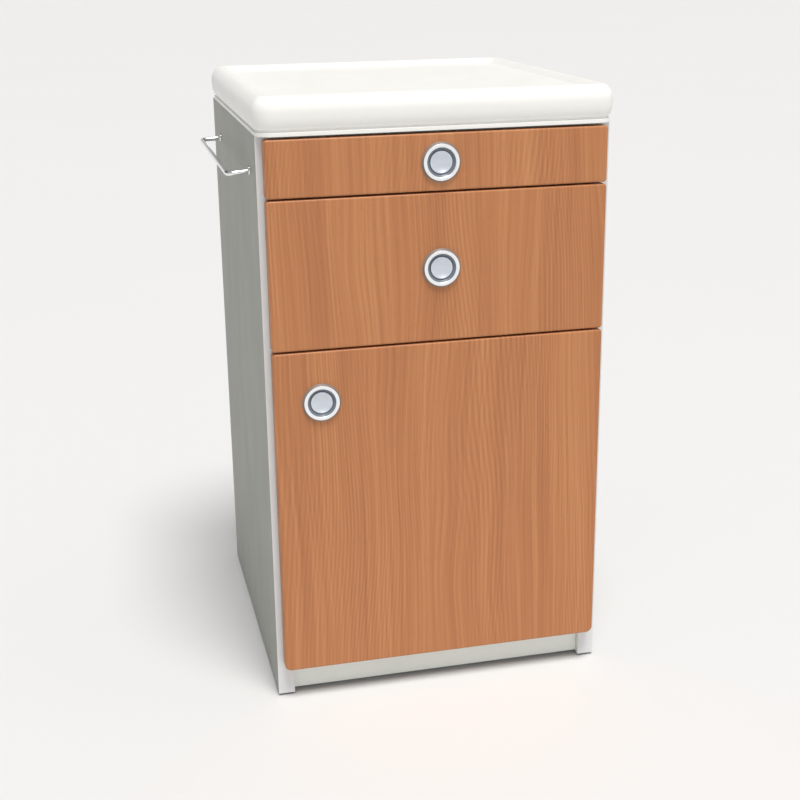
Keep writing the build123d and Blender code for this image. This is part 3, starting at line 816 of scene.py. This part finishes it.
def fronts():
    for name in DRAWERS:
        front_piece(name + "_front", name, BEECH[name], lock_centre(name))
    bores = []
    for cup in ("hinge_cup_lower", "hinge_cup_upper"):
        low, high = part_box(cup)
        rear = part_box("door_panel")[1].y
        bores.append((low.x + CUP_R, (low.z + high.z) / 2, CUP_R, rear - CUP_DEPTH))
    front_piece("door_panel", "door", BEECH["door"], lock_centre("door"), bores)


# Stage

def floor():
    bm = bmesh.new()
    corners = ((-1, -1), (1, -1), (1, 1), (-1, 1))
    bm.faces.new(ring(bm, [(x * FLOOR_HALF, y * FLOOR_HALF, 0) for x, y in corners]))
    mesh = bpy.data.meshes.new("floor")
    bm.to_mesh(mesh)
    bm.free()
    look = Look("pale_floor", roughness=0.6, specular_ior_level=0.2)
    cloud = look.noise(look.place((0.8, 0.8, 0.8)), 1.0, 2.0)
    look.set("Base Color", look.mix(cloud, FLOOR_DARK, FLOOR_LIGHT))
    mesh.materials.append(look.material)
    made = bpy.data.objects.new("floor", mesh)
    bpy.context.scene.collection.objects.link(made)


def sun():
    light = bpy.data.lights.new("sun", "SUN")
    light.energy = SUN_STRENGTH
    light.angle = math.radians(SUN_ANGLE)
    light.color = SUN_COLOUR
    lamp = bpy.data.objects.new("sun", light)
    azimuth, elevation = math.radians(SUN_AZIMUTH), math.radians(SUN_ELEVATION)
    flat = math.cos(elevation)
    towards = Vector((math.sin(azimuth) * flat, -math.cos(azimuth) * flat, math.sin(elevation)))
    lamp.rotation_mode = "QUATERNION"
    lamp.rotation_quaternion = towards.to_track_quat("Z", "Y")
    lamp.location = towards * SUN_DISTANCE
    bpy.context.scene.collection.objects.link(lamp)


def sky():
    """A pale studio: brightest towards its big soft box, with a light band along the horizon."""
    world = bpy.data.worlds.new("studio")
    bpy.context.scene.world = world
    world.use_nodes = True
    nodes, links = world.node_tree.nodes, world.node_tree.links
    place = nodes.new("ShaderNodeTexCoord").outputs["Generated"]

    def add(kind, values, **settings):
        node = nodes.new(kind)
        for key, value in settings.items():
            setattr(node, key, value)
        for key, value in values.items():
            if isinstance(value, bpy.types.NodeSocket):
                links.new(value, node.inputs[key])
            else:
                node.inputs[key].default_value = value
        return node

    towards = Vector(SKY_TOWARDS).normalized()
    facing = add("ShaderNodeVectorMath", {0: place, 1: towards}, operation="DOT_PRODUCT")
    height = add("ShaderNodeSeparateXYZ", {0: place}).outputs[2]
    smooth = {"interpolation_type": "SMOOTHSTEP"}
    start, end = SKY_SPREAD
    inputs = {0: facing.outputs["Value"], 1: start, 2: end, 3: SKY_DARK, 4: SKY_BRIGHT}
    box = add("ShaderNodeMapRange", inputs, **smooth)
    low, high = SKY_BAND
    band = add("ShaderNodeMapRange", {0: height, 1: low, 2: high, 3: 1.0, 4: 0.0}, **smooth)
    inputs = {0: band.outputs[0], 2: box.outputs[0], 3: SKY_HORIZON}
    level = add("ShaderNodeMix", inputs, data_type="FLOAT")
    links.new(level.outputs[0], nodes["Background"].inputs["Color"])


def camera():
    """The camera to the cabinet's front left, above its top, turned a trace about its line of sight."""
    data = bpy.data.cameras.new("camera")
    data.lens = CAMERA_LENS
    data.shift_y = CAMERA_SHIFT
    made = bpy.data.objects.new("camera", data)
    yaw, pitch, roll = (math.radians(v) for v in (CAMERA_YAW, CAMERA_PITCH, CAMERA_ROLL))
    turn = Matrix.Rotation(-yaw, 4, "Z") @ Matrix.Rotation(math.pi / 2 - pitch, 4, "X")
    made.matrix_world = Matrix.Translation(CAMERA_AT) @ turn @ Matrix.Rotation(roll, 4, "Z")
    bpy.context.scene.collection.objects.link(made)
    bpy.context.scene.camera = made


moulded_top_piece()
fronts()
for lock in LOCKS:
    ring_piece(lock, lock)
    button_piece(lock, lock + "_button")
rail_piece()
screws_piece("hinge_screws", "door", (0, 1, 0), NICKEL)
screws_piece("back_panel_screws", "cabinet", (0, 1, 0), ZINC)
screws_piece("top_fixing_screws", "cabinet", (0, 0, -1), ZINC)
carried_nodes()
floor()
sun()
sky()
camera()
bpy.context.scene.view_settings.view_transform = "Standard"
